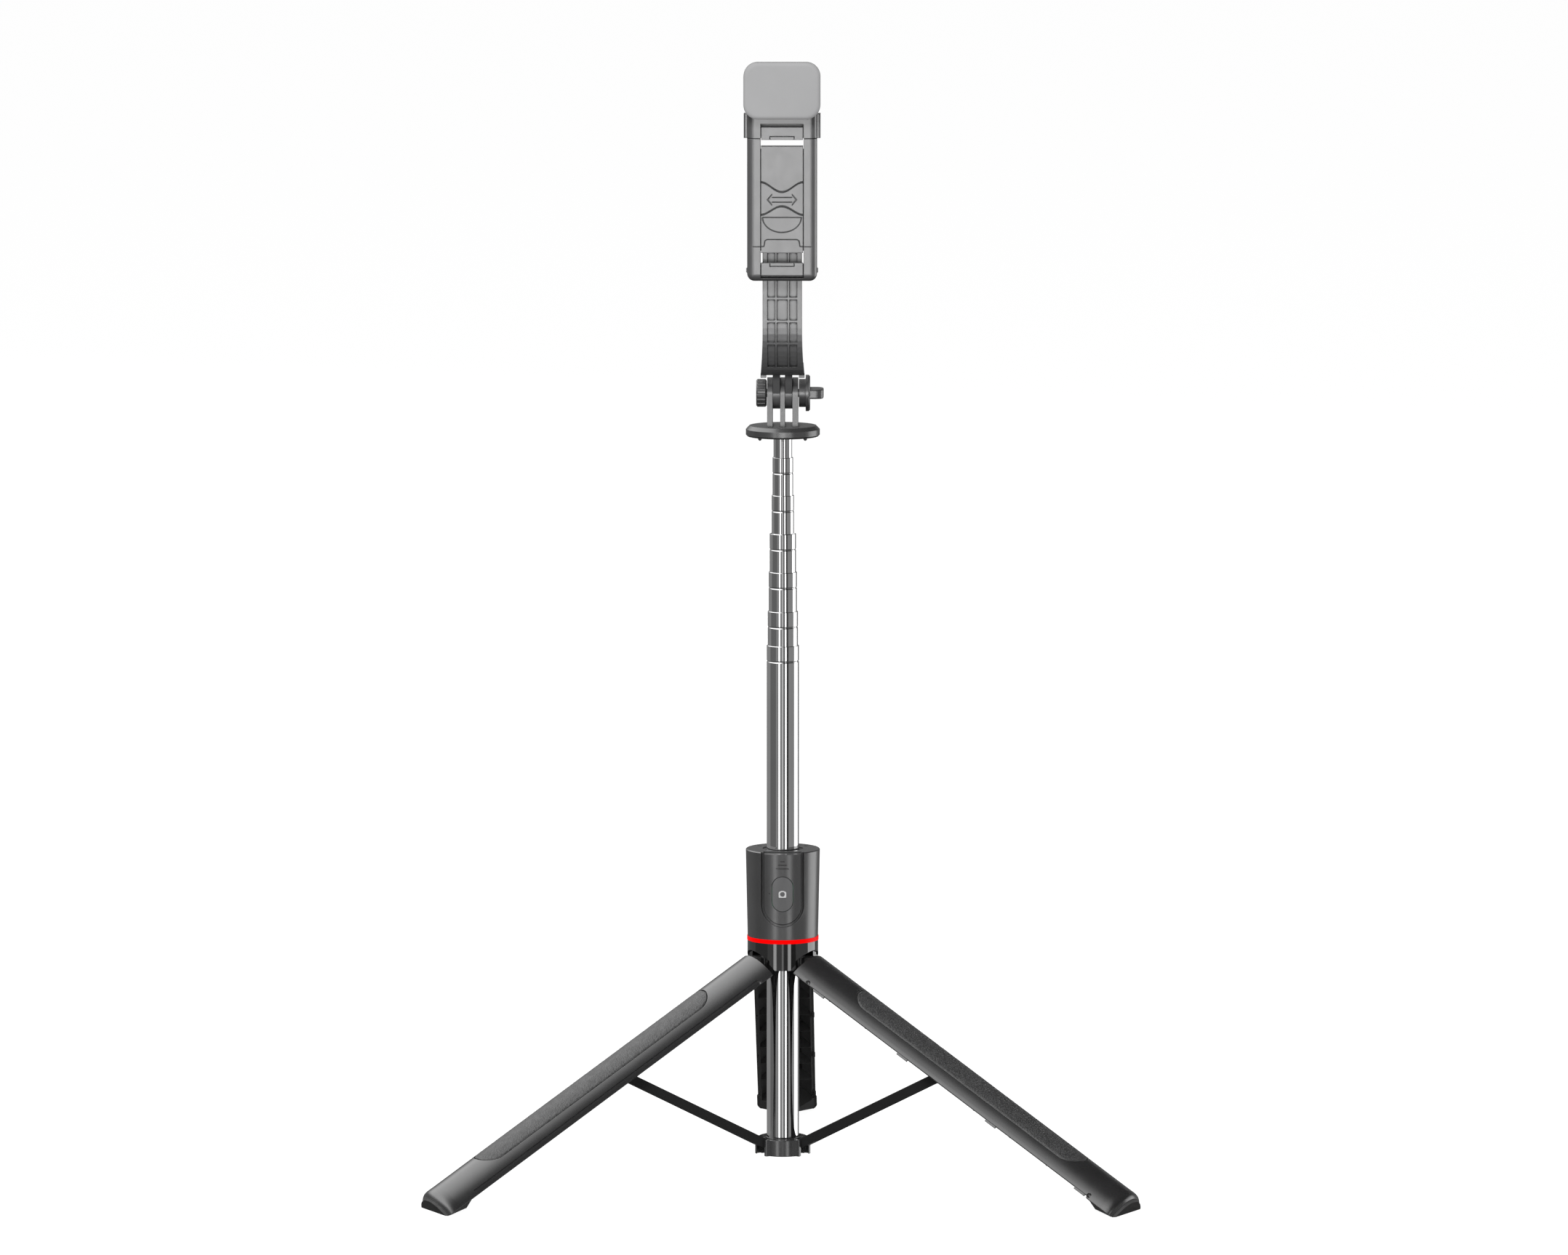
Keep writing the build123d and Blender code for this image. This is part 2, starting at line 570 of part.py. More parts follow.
def arm_front():
    """Front outline of the arm: (x, height over the tilt axis), flaring smoothly towards the bottom."""
    right = [(CHEEK_HALF, CHEEK_LOW - 4)]
    for k in range(0, 11):
        share = k / 10
        half = ARM_HALF + (CHEEK_HALF - ARM_HALF) * (1 - share) ** 2
        right.append((half, CHEEK_LOW + share * (CHEEK_HIGH - CHEEK_LOW)))
    right.append((ARM_HALF, SWIVEL_Z - TILT_Z + 1))
    return right + [(-x, h) for x, h in reversed(right)]


def make_arm():
    outline = [(y, TILT_Z + h) for y, h in arm_outline()]
    arm = extrude_x(outline, -CHEEK_HALF, CHEEK_HALF)
    arm &= extrude_y([(x, TILT_Z + h) for x, h in arm_front()], -60, 0)
    arm += rod_y(ARM_HALF, ARM_FRONT, ARM_BACK, 0, SWIVEL_Z)
    # shallow pockets between the ribs, their floors parallel to the front
    floor = [(-60, 10)]
    for k in range(0, 13):
        angle = math.radians(90 * k / 12)
        y = -13 - (18 - POCKET_DEPTH) * math.sin(angle)
        floor.append((y, 42 - (30 - POCKET_DEPTH) * math.cos(angle)))
    floor += [(ARM_FRONT + POCKET_DEPTH, 90), (-60, 90)]
    tool = extrude_x([(y, TILT_Z + h) for y, h in floor], -9.0, 9.0)
    for h0, h1 in ((17.9, 31.9), (33.3, 45.4), (46.8, 59.2), (60.6, 72.9), (74.3, 87.6)):
        for x0, x1 in ((-8.9, -4.3), (-3.2, 3.2), (4.3, 8.9)):
            arm -= tool & slab(x0, x1, -40, 0, TILT_Z + h0, TILT_Z + h1)
    # knuckles and their webs
    for x0, x1 in KNUCKLES:
        web = extrude_x([(-9.3, TILT_Z), (-14, TILT_Z + 12.2), (-14, TILT_Z + 18.5), (-11, TILT_Z + 19.2),
                         (5, TILT_Z + 8)], x0, x1)
        arm += web + rod_x(KNUCKLE_R, x0, x1, 0, TILT_Z)
    # side bosses that close the ends of the lower cheeks
    for side in (-1, 1):
        low_x, high_x = sorted((side * 9.8, side * CHEEK_HALF))
        arm += slab(low_x, high_x, -15.5, -11, TILT_Z + 10.6, TILT_Z + CHEEK_LOW + 1)
    arm -= rod_x(BOLT_R + RUN, -20, 20, 0, TILT_Z)
    arm -= rod_y(2.5 + RUN, -40, -20, 0, SWIVEL_Z)
    save("arm", arm)
    screw = rod_y(2.5, -39.0, ARM_BACK, 0, SWIVEL_Z)
    screw += rod_y(4.2, ARM_BACK + 0.05, ARM_BACK + 2.2, 0, SWIVEL_Z)
    screw += rod_y(2.5, ARM_BACK - 0.5, ARM_BACK + 0.5, 0, SWIVEL_Z)
    screw -= slab(-0.5, 0.5, ARM_BACK + 1.4, 0, SWIVEL_Z - 3, SWIVEL_Z + 3)
    screw -= slab(-3, 3, ARM_BACK + 1.4, 0, SWIVEL_Z - 0.5, SWIVEL_Z + 0.5)
    save("swivel_screw", screw)


def wave(base, swing, half_width, offset):
    """Cosine wave across the cradle plate, as (x, z) points."""
    points = []
    for k in range(17):
        x = -half_width + k * half_width / 8
        points.append((x, base + offset - swing * math.cos(math.pi * x / half_width)))
    return points


def wave_groove(base, swing, width, y0, y1):
    upper = wave(base, swing, 13, width / 2)
    lower = wave(base, swing, 13, -width / 2)
    return extrude_y(upper + lower[::-1], y0, y1)


def arrow(reach, barb, shaft):
    """Double-headed arrow around the swivel's height, as (x, z) points."""
    neck = 6.0
    right = [(neck, shaft), (neck, barb), (reach, 0), (neck, -barb), (neck, -shaft)]
    left = [(-x, -z) for x, z in right]
    return [(x, SWIVEL_Z + 0.5 + z) for x, z in right + left]


def make_clamp():
    frame = rounded_y(FRAME_HALF, FRAME_BOTTOM, FRAME_TOP + 12, CLAMP_FRONT, CLAMP_BACK, 4.4)
    frame -= slab(-40, 40, -60, 0, FRAME_TOP, FRAME_TOP + 30)
    sides = [e for e in frame.edges().filter_by(Axis.Z) if abs(e.center().X) > FRAME_HALF - 0.5]
    frame = fillet([e for e in sides if e.center().Y < CLAMP_FRONT + 1], SIDE_ROUND)
    for side in (-1, 1):
        bump = Location((side * 19.5, 0, 0)) * rod_y(2.0, CLAMP_FRONT + 3.5, CLAMP_BACK, 0, 557)
        bump += slab(side * 19.5 - 2, side * 19.5 + 2, CLAMP_FRONT + 3.5, CLAMP_BACK, 556, 558)
        frame += bump
    window = slab(-WINDOW_HALF, WINDOW_HALF, -60, 0, FRAME_BOTTOM + 2.3, FRAME_TOP + 10)
    frame -= window
    frame += slab(-WINDOW_HALF - 1, WINDOW_HALF + 1, -39.2, CLAMP_BACK, FRAME_BOTTOM + 0.5, 560.8)
    frame += slab(-WINDOW_HALF - 1, WINDOW_HALF + 1, -34.4, CLAMP_BACK, 568.5, 629.5)
    frame += rod_y(6.0, -38.8, CLAMP_BACK, 0, SWIVEL_Z)
    frame -= rod_y(2.5, -60, 0, 0, SWIVEL_Z)
    # channels of the sleeve's tongues
    for side in (-1, 1):
        x0, x1 = sorted((side * 14.4, side * 18.9))
        frame -= slab(x0, x1, -41.2, -36.0, 580, FRAME_TOP + 10)
    # seam of the lower cap
    frame -= slab(-30, 30, CLAMP_FRONT - 1, CLAMP_FRONT + 0.3, SEAM_Z, SEAM_Z + 0.3)
    # lower claw's pin holes
    frame -= rod_x(0.8 + RUN, -14.4, 14.4, CLAW_PIN_Y, CLAW_PIN_LOW)
    frame -= rod_x(2.3, -CLAW_HALF - 0.35, CLAW_HALF + 0.35, CLAW_PIN_Y, CLAW_PIN_LOW)
    save("clamp_frame", frame)

    plate = slab(-12.55, 12.55, CLAMP_FRONT, -34.4, PLATE_BOTTOM, 631.6)
    plate -= slab(-10.8, 10.8, -39.2, -34, PLATE_BOTTOM + 1.6, 630)
    plate -= rod_y(6.0, -38.8, -30, 0, SWIVEL_Z)
    front = CLAMP_FRONT
    plate -= wave_groove(607.3, 3.0, 1.0, front - 1, front + 1.2)
    plate -= wave_groove(593.2, -2.6, 1.0, front - 1, front + 1.2)
    # lens-shaped thumb recess, outlined by a groove
    lens = []
    inner_lens = []
    for k in range(25):
        angle = math.pi * k / 24
        lens.append((11.9 * math.cos(angle), LENS_TOP - LENS_DEPTH * math.sin(angle)))
        inner_lens.append((11.3 * math.cos(angle), LENS_TOP - 0.35 - (LENS_DEPTH - 0.8) * math.sin(angle)))
    plate -= extrude_y(lens, front - 1, front + 0.25)
    plate -= extrude_y(lens, front - 1, front + 0.6) - extrude_y(inner_lens, front - 1, front + 1)
    # double arrow
    outline = extrude_y(arrow(9.0, 3.5, 1.6), front - 1, front + 0.5)
    plate -= outline - extrude_y(arrow(8.2, 2.75, 1.25), front - 1, front + 1)
    # seam of the lower cap, stepped up around the middle
    tab = [(-13, 0), (-10.6, 0.2), (-10, 3.5), (-8.8, 4.3), (8.8, 4.3), (10, 3.5), (10.6, 0.2), (13, 0)]
    tab += [(13, 0.35), (10.9, 0.55), (10.35, 3.8), (9, 4.65), (-9, 4.65), (-10.35, 3.8), (-10.9, 0.55)]
    tab += [(-13, 0.35)]
    plate -= extrude_y([(x, SEAM_Z + z) for x, z in tab], front - 1, front + 0.4)
    save("cradle_plate", plate)

    sleeve = slab(-FRAME_HALF, FRAME_HALF, CLAMP_FRONT, CLAMP_BACK, SLEEVE_BOTTOM, SLEEVE_TOP)
    fronts = [e for e in sleeve.edges().filter_by(Axis.Z) if e.center().Y < CLAMP_FRONT + 1]
    sleeve = fillet(fronts, SIDE_ROUND)
    for side in (-1, 1):
        x0, x1 = sorted((side * (FRAME_HALF - 1), side * SLEEVE_HALF))
        wing = slab(x0, x1, CLAMP_FRONT + 3.4, CLAMP_BACK, SLEEVE_BOTTOM, SLEEVE_TOP)
        outer = wing.edges().filter_by(Axis.Z).sort_by(Axis.X)
        outer = outer[-2:] if side > 0 else outer[:2]
        sleeve += fillet(outer, 1.2)
        x0, x1 = sorted((side * 14.7, side * 18.6))
        sleeve += slab(x0, x1, -40.9, -36.3, 592, SLEEVE_BOTTOM + 2)
    sleeve -= slab(-12.75, 12.75, -60, -39.1, SLEEVE_BOTTOM - 2, CLAW_PIN_UP + 2.3)
    sleeve -= rod_x(0.8 + RUN, -14.4, 14.4, CLAW_PIN_Y, CLAW_PIN_UP)
    # hinge lugs of the fill light
    for side in (-1, 1):
        x0, x1 = sorted((side * 8.3, side * 11.0))
        lug = slab(x0, x1, LAMP_HINGE_Y - 2.8, LAMP_HINGE_Y + 2.8, SLEEVE_TOP - 1, LAMP_HINGE_Z)
        sleeve += lug + rod_x(2.8, x0, x1, LAMP_HINGE_Y, LAMP_HINGE_Z)
    sleeve -= rod_x(1.2 + RUN, -9.9, 9.9, LAMP_HINGE_Y, LAMP_HINGE_Z)
    sleeve -= rod_x(3.3, -8.3, 8.3, LAMP_HINGE_Y, LAMP_HINGE_Z)
    save("slider_sleeve", sleeve)

    springs = []
    for side in (-1, 1):
        turns = pipe(1.5, 0.9, 580.4, 591.8)
        for k in range(14):
            turns -= pipe(2.5, 1.32, 580.8 + 0.8 * k, 581.0 + 0.8 * k)
        springs.append(Location((side * 16.65, -38.6, 0)) * turns)
    save("return_springs", *springs)


def claw(pin_z, direction):
    """Flip-out claw lying flat in the clamp; direction is +1 where it lies above its pin."""
    z0, z1 = sorted((pin_z - 0.9 * direction, pin_z + CLAW_REACH * direction))
    body = slab(-CLAW_HALF, CLAW_HALF, CLAMP_FRONT - 0.2, -39.7, z0, z1)
    near = [e for e in body.edges().filter_by(Axis.X) if abs(e.center().Z - pin_z) < 2]
    body = fillet(near, 0.7)
    notch = pin_z + 4.9 * direction
    tip = pin_z + CLAW_REACH * direction
    n0, n1 = sorted((notch, tip + direction))
    body -= slab(-7.4, 7.4, CLAMP_FRONT - 1, CLAMP_FRONT + 0.5, n0, n1)
    n0, n1 = sorted((notch + 0.3 * direction, tip))
    body += slab(-7.1, 7.1, CLAMP_FRONT - 0.1, CLAMP_FRONT + 0.8, n0, n1)
    body += rod_x(0.8, -14.2, 14.2, CLAW_PIN_Y, pin_z)
    p0, p1 = sorted((pin_z + 2.4 * direction, pin_z + 6.5 * direction))
    pad = slab(-10, 10, -40.5, -39.5, p0, p1)
    body -= slab(-10, 10, -40.5, -39, p0, p1)
    return body, pad


def make_claws():
    for name, pin_z, direction in (("upper", CLAW_PIN_UP, -1), ("lower", CLAW_PIN_LOW, 1)):
        body, pad = claw(pin_z, direction)
        save(f"{name}_claw", body)
        save(f"{name}_claw_pad", pad)


def make_lamp():
    block = rounded_y(LAMP_HALF, LAMP_BOTTOM, LAMP_TOP, LAMP_FRONT, LAMP_SPLIT, LAMP_CORNER)
    front = block.faces().sort_by(Axis.Y)[0]
    diffuser = fillet(front.edges(), LAMP_EDGE)
    front_y = LAMP_FRONT + 2.2
    diffuser -= rounded_y(LAMP_HALF - 2, LAMP_BOTTOM + 2, LAMP_TOP - 2, front_y, LAMP_SPLIT + 1, 7.2)
    save("lamp_diffuser", diffuser)
    housing = rounded_y(LAMP_HALF, LAMP_BOTTOM, LAMP_TOP, LAMP_SPLIT, LAMP_BACK, LAMP_CORNER)
    housing = fillet(housing.faces().sort_by(Axis.Y)[-1].edges(), 1.6)
    wall = 1.6
    back_y = LAMP_BACK - 1.4
    housing -= rounded_y(LAMP_HALF - wall, LAMP_BOTTOM + wall, LAMP_TOP - wall, LAMP_SPLIT - 1, back_y, 7.6)
    arm = slab(-8, 8, LAMP_BACK - 1, LAMP_HINGE_Y, LAMP_HINGE_Z - 2.0, LAMP_HINGE_Z + 2.0)
    arm += rod_x(2.8, -8, 8, LAMP_HINGE_Y, LAMP_HINGE_Z)
    arm += rod_x(1.2, -9.7, 9.7, LAMP_HINGE_Y, LAMP_HINGE_Z)
    housing += arm
    housing -= rod_y(2.65, -45.2, -40, 0, 672)
    save("lamp_housing", housing)
    board = rounded_y(LAMP_HALF - 2.2, LAMP_BOTTOM + 2.2, LAMP_TOP - 2.2, -49.0, -47.9, 7)
    for column in range(-2, 3):
        for row in (-1, 1):
            x = 7.2 * column
            z = 665.15 + 6.5 * row
            board += slab(x - 1.4, x + 1.4, -49.8, -49.0, z - 1.4, z + 1.4)
    save("led_board", board)
    save("lamp_cell", slab(-13, 13, -47.7, -45.3, 652, 668))
    save("lamp_button", rod_y(2.5, -44.9, -42.9, 0, 672))


make_legs()
make_collar()
make_mast()
make_hub()
make_remote()
make_head()
make_arm()
make_clamp()
make_claws()
make_lamp()
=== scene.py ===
"""Looks of the tripod selfie stick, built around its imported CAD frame. Metres, +Z up, front faces -Y."""

import json
import math

import bmesh
import bpy
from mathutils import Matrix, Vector, noise


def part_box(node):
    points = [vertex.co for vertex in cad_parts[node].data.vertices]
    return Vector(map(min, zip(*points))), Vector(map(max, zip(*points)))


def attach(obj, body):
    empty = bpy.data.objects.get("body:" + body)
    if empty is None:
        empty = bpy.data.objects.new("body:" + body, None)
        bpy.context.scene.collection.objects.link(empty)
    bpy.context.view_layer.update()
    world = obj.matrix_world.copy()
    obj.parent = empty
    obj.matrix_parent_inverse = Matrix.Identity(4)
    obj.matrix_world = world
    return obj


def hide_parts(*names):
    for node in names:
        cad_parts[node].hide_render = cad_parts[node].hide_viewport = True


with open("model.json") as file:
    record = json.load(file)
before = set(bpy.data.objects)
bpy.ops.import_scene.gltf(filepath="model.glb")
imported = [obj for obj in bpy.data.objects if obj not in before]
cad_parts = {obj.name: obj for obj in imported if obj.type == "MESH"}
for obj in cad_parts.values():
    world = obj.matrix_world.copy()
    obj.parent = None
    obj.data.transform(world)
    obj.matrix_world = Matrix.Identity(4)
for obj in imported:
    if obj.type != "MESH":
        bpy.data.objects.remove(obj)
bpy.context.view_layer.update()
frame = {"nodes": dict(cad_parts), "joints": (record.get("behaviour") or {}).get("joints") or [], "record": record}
NODES = frame["nodes"]
JOINTS = {joint["name"]: joint for joint in frame["joints"]}
MM = 0.001

# Legs, in millimetres as the leg is drawn folded around the mast
LEG_OPEN = math.radians(60)
GRIP_START = 43.0
GRIP_END = 222.0
GRIP_HALF_WIDTH = 11.75
GRIP_RADIUS = 22.1
GRIP_STEP = 0.5
RIM_WIDTH = 0.8              # rounded rim of the pad
RIM_DROP = 0.45
PEBBLE_HEIGHT = 0.18
GRIP_RECESS = 1.08
GRIP_SINK = 0.55            # how far the pad's rim drops at its rounded edge
CAVITY_RADIUS = 20.25         # inner face of a leg shell

# Camera
IMAGE_WIDTH = 0.9486        # metres across the picture at the mast
CAMERA_DISTANCE = 5.7
CAMERA_HEIGHT = 1.045
CAMERA_TURN = math.radians(0.66)
CAMERA_AIM = Vector((0.0007, 0.0, 0.337))
SENSOR = 36.0


# ---------------------------------------------------------------- node helpers

class Shader:
    """A material's node tree with short ways to add nodes and links."""

    def __init__(self, name):
        self.material = bpy.data.materials.new(name)
        self.material.use_nodes = True
        self.nodes = self.material.node_tree.nodes
        self.links = self.material.node_tree.links
        self.surface = self.nodes["Principled BSDF"]

    def add(self, kind, settings=None, **inputs):
        node = self.nodes.new(kind)
        for key, value in (settings or {}).items():
            setattr(node, key, value)
        for key, value in inputs.items():
            self.plug(node, key.replace("_", " "), value)
        return node

    def plug(self, node, socket, value):
        if hasattr(value, "is_output"):
            self.links.new(value, node.inputs[socket])
        else:
            node.inputs[socket].default_value = value

    def math(self, operation, a, b=0.0):
        node = self.nodes.new("ShaderNodeMath")
        node.operation = operation
        self.plug(node, 0, a)
        self.plug(node, 1, b)
        return node.outputs[0]

    def noise(self, scale, detail=3.0, roughness=0.5, stretch=None):
        place = self.add("ShaderNodeTexCoord").outputs["Object"]
        if stretch:
            place = self.add("ShaderNodeMapping", Vector=place, Scale=stretch).outputs[0]
        node = self.add("ShaderNodeTexNoise", Vector=place, Scale=scale, Detail=detail, Roughness=roughness)
        return node.outputs["Fac"]

    def ramp(self, value, low, high, to_low=0.0, to_high=1.0):
        node = self.nodes.new("ShaderNodeMapRange")
        self.plug(node, "Value", value)
        for key, number in (("From Min", low), ("From Max", high), ("To Min", to_low), ("To Max", to_high)):
            node.inputs[key].default_value = number
        return node.outputs[0]

    def blend(self, factor, first, second):
        node = self.nodes.new("ShaderNodeMix")
        node.data_type = "RGBA"
        self.plug(node, "Factor", factor)
        for index, colour in ((6, first), (7, second)):
            self.plug(node, index, colour)
        return node.outputs[2]

    def dot(self, a, b):
        node = self.nodes.new("ShaderNodeVectorMath")
        node.operation = "DOT_PRODUCT"
        self.plug(node, 0, a)
        self.plug(node, 1, b)
        return node.outputs["Value"]

    def edges(self, radius):
        """Normal rounded over the edges, and a mask that is 1 on an edge."""
        bevel = self.add("ShaderNodeBevel", {"samples": 4}, Radius=radius)
        flat = self.add("ShaderNodeNewGeometry").outputs["Normal"]
        return bevel.outputs[0], self.ramp(self.dot(bevel.outputs[0], flat), 1.0, 0.86)

    def openness(self, reach):
        """1 on open faces, falling to 0 in seams and narrow gaps."""
        shade = self.add("ShaderNodeAmbientOcclusion", {"samples": 4}, Distance=reach)
        return self.ramp(shade.outputs["AO"], 0.25, 0.8)

    def bump(self, height, depth, normal=None):
        node = self.add("ShaderNodeBump", Height=height, Distance=depth, Strength=1.0)
        if normal is not None:
            self.plug(node, "Normal", normal)
        return node.outputs[0]

    def set(self, **inputs):
        for key, value in inputs.items():
            self.plug(self.surface, key.replace("_", " "), value)
        return self.material


SEAM_REACH = 0.0017
PLASTIC_IOR = 1.75
HIGHLIGHT_EDGE_SHARE = 0.35     # how fully an edge takes its own tone where that is paler, a painted highlight
SHADE_EDGE_SHARE = 0.9      # and where it is darker, a painted shade
SEAM_SHADE_TONE = 0.12     # tone of the painted shade deep in a seam, beside the plastic's open faces


def grey(level, tint=0.0):
    return (level, level, level * (1 + tint), 1.0)


# ---------------------------------------------------------------- materials

def moulded(name, level, roughness, specular=0.5, edge=0.0003, painted_edge_tone=1.9, hollow=None):
    """Fine-textured injection moulding: spark grain, mottling, polished edges painted a tone of their own (paler
    as a highlight, darker as shade), and seams painted dark as shade.

    The edge tone argument is how much paler (over 1, a painted highlight) or darker (under 1, a painted shade) the
    plastic is painted along its edges.
    hollow, if given, makes a mask that is 1 on the inside of a shell, which is painted near-black as shade and
    made duller.
    """
    s = Shader(name)
    normal, edge_mask = s.edges(edge)
    open_face = s.openness(SEAM_REACH)
    mottling = s.ramp(s.noise(70.0, 4.0, 0.6), 0.3, 0.7)
    colour = s.blend(mottling, grey(level * 0.92, 0.01), grey(level * 1.08, 0.02))
    edge_paint_share = HIGHLIGHT_EDGE_SHARE if painted_edge_tone > 1 else SHADE_EDGE_SHARE
    # Edges painted in their own tone: paler is a painted highlight, darker is a painted shade.
    colour = s.blend(s.math("MULTIPLY", edge_mask, edge_paint_share), colour, grey(level * painted_edge_tone, 0.01))
    # Seams and narrow gaps, found by the occlusion mask, are painted dark as shade.
    colour = s.blend(open_face, grey(level * SEAM_SHADE_TONE), colour)
    dull = s.ramp(open_face, 0.0, 1.0, 0.5, 0.0)
    if hollow:
        inside = hollow(s)
        # The inside of the shell is painted near-black as shade.
        colour = s.blend(inside, colour, grey(0.006))
        dull = s.math("MAXIMUM", dull, s.math("MULTIPLY", inside, 0.6))
    patches = s.ramp(s.noise(160.0, 3.0), 0.3, 0.7, roughness - 0.015, roughness + 0.02)
    rough = s.math("SUBTRACT", s.math("ADD", patches, dull), s.math("MULTIPLY", edge_mask, 0.08))
    bump = s.bump(s.noise(2600.0, 2.0, 0.6), 0.000006, normal)
    s.set(Base_Color=colour, Roughness=rough, Normal=bump)
    return s.set(Specular_IOR_Level=specular, IOR=PLASTIC_IOR)


def chrome(name):
    """Polished tube with faint lengthwise wipe marks."""
    s = Shader(name)
    wipes = s.noise(90.0, 3.0, 0.6, stretch=(1.0, 1.0, 0.04))
    haze = s.noise(26.0, 4.0, 0.6)
    rough = s.math("ADD", s.ramp(wipes, 0.35, 0.75, 0.03, 0.06), s.ramp(haze, 0.45, 0.75, 0.0, 0.04))
    bump = s.bump(wipes, 0.000004)
    tone = s.blend(s.ramp(haze, 0.3, 0.7), (0.86, 0.86, 0.865, 1), (0.93, 0.93, 0.93, 1))
    return s.set(Base_Color=tone, Metallic=1.0, Roughness=rough, Normal=bump)


def steel(name):
    s = Shader(name)
    brush = s.noise(900.0, 3.0, 0.6, stretch=(1.0, 1.0, 0.15))
    rough = s.ramp(brush, 0.3, 0.7, 0.22, 0.38)
    tone = s.blend(s.ramp(brush, 0.3, 0.7), (0.42, 0.42, 0.43, 1), (0.62, 0.62, 0.63, 1))
    return s.set(Base_Color=tone, Metallic=1.0, Roughness=rough, Normal=s.bump(brush, 0.00001))


def gloss_black(name):
    """Deep piano-black coat that mirrors the studio."""
    s = Shader(name)
    normal, _ = s.edges(0.0003)
    haze = s.noise(120.0, 4.0, 0.6)
    rough = s.ramp(haze, 0.35, 0.75, 0.03, 0.08)
    colour = s.blend(s.ramp(haze, 0.3, 0.7), grey(0.004), grey(0.007))
    bump = s.bump(s.noise(40.0, 1.0), 0.000004, normal)
    return s.set(Base_Color=colour, Roughness=rough, Normal=bump, Specular_IOR_Level=0.9, IOR=1.8)


def accent_red(name):
    s = Shader(name)
    normal, _ = s.edges(0.0002)
    haze = s.ramp(s.noise(150.0, 3.0), 0.3, 0.7)
    colour = s.blend(haze, (0.30, 0.0, 0.0, 1), (0.36, 0.0, 0.0, 1))
    rough = s.math("ADD", s.math("MULTIPLY", haze, 0.1), 0.35)
    s.set(Base_Color=colour, Roughness=rough, Normal=normal, Specular_IOR_Level=0.1)
    # Red emission paints a glow on the ring, which holds no lamp.
    return s.set(Emission_Color=(1.0, 0.0, 0.0, 1), Emission_Strength=0.75)


def grip_leather(name):
    """Leather-grained elastomer: pebbles from the mesh, finer grain on top, creases and rim painted dark as shade.
    """
    s = Shader(name)
    place = s.add("ShaderNodeTexCoord").outputs["Object"]
    cells = s.add("ShaderNodeTexVoronoi", {"feature": "F1"}, Vector=place, Scale=1100.0)
    crease = s.ramp(cells.outputs["Distance"], 0.25, 0.65)
    grain = s.math("ADD", s.math("SUBTRACT", 1.0, crease), s.math("MULTIPLY", s.noise(3000.0, 2.0), 0.3))
    mottling = s.ramp(s.noise(120.0, 4.0), 0.3, 0.7)
    colour = s.blend(mottling, grey(0.046, 0.01), grey(0.062, 0.01))
    open_face = s.openness(0.0009)
    # Creases between the grain cells are painted dark as shade.
    colour = s.blend(s.math("MULTIPLY", crease, 0.7), colour, grey(0.012))
    # The pad's rim and gaps, found by the occlusion mask, are painted near-black as shade.
    colour = s.blend(open_face, grey(0.008), colour)
    patches = s.ramp(s.noise(300.0, 3.0), 0.3, 0.7, 0.42, 0.54)
    rough = s.math("ADD", patches, s.ramp(open_face, 0.0, 1.0, 0.35, 0.0))
    bump = s.bump(grain, 0.00008)
    s.set(Base_Color=colour, Roughness=rough, Normal=bump)
    return s.set(Specular_IOR_Level=0.55, IOR=PLASTIC_IOR)


def rubber(name, level):
    s = Shader(name)
    normal, _ = s.edges(0.0004)
    grain = s.noise(1800.0, 3.0, 0.7)
    scuffs = s.ramp(s.noise(220.0, 5.0, 0.7), 0.45, 0.75)
    colour = s.blend(scuffs, grey(level), grey(level * 1.5, -0.02))
    rough = s.ramp(grain, 0.3, 0.7, 0.62, 0.8)
    return s.set(Base_Color=colour, Roughness=rough, Normal=s.bump(grain, 0.00004, normal))


def frosted(name):
    """Milky light panel with a fine frosted skin, evenly pale from the light inside it."""
    s = Shader(name)
    haze = s.ramp(s.noise(35.0, 3.0), 0.3, 0.7)
    colour = s.blend(haze, grey(0.17, 0.01), grey(0.19, 0.01))
    rough = s.ramp(s.noise(400.0, 3.0), 0.3, 0.7, 0.55, 0.65)
    bump = s.bump(s.noise(2200.0, 2.0, 0.6), 0.00001)
    s.set(Base_Color=colour, Roughness=rough, Normal=bump, Specular_IOR_Level=0.2)
    return s.set(Emission_Color=grey(1.0, 0.01), Emission_Strength=0.18)


def circuit(name):
    s = Shader(name)
    place = s.add("ShaderNodeTexCoord").outputs["Object"]
    tracks = s.add("ShaderNodeTexBrick", Vector=place, Scale=300.0, Mortar_Size=0.06)
    colour = s.blend(s.ramp(tracks.outputs["Fac"], 0.0, 1.0), (0.01, 0.10, 0.04, 1), (0.03, 0.20, 0.09, 1))
    rough = s.ramp(s.noise(300.0), 0.3, 0.7, 0.25, 0.45)
    return s.set(Base_Color=colour, Roughness=rough)


def cell_wrap(name):
    s = Shader(name)
    fade = s.ramp(s.noise(120.0, 3.0), 0.3, 0.7)
    colour = s.blend(fade, (0.05, 0.14, 0.38, 1), (0.07, 0.18, 0.45, 1))
    return s.set(Base_Color=colour, Roughness=s.math("ADD", s.math("MULTIPLY", fade, 0.15), 0.3))


def printed(name):
    """Pale ink of the pictogram."""
    s = Shader(name)
    wear = s.ramp(s.noise(900.0, 4.0, 0.7), 0.35, 0.7)
    colour = s.blend(wear, grey(0.46), grey(0.56))
    return s.set(Base_Color=colour, Roughness=s.math("ADD", s.math("MULTIPLY", wear, 0.1), 0.45))


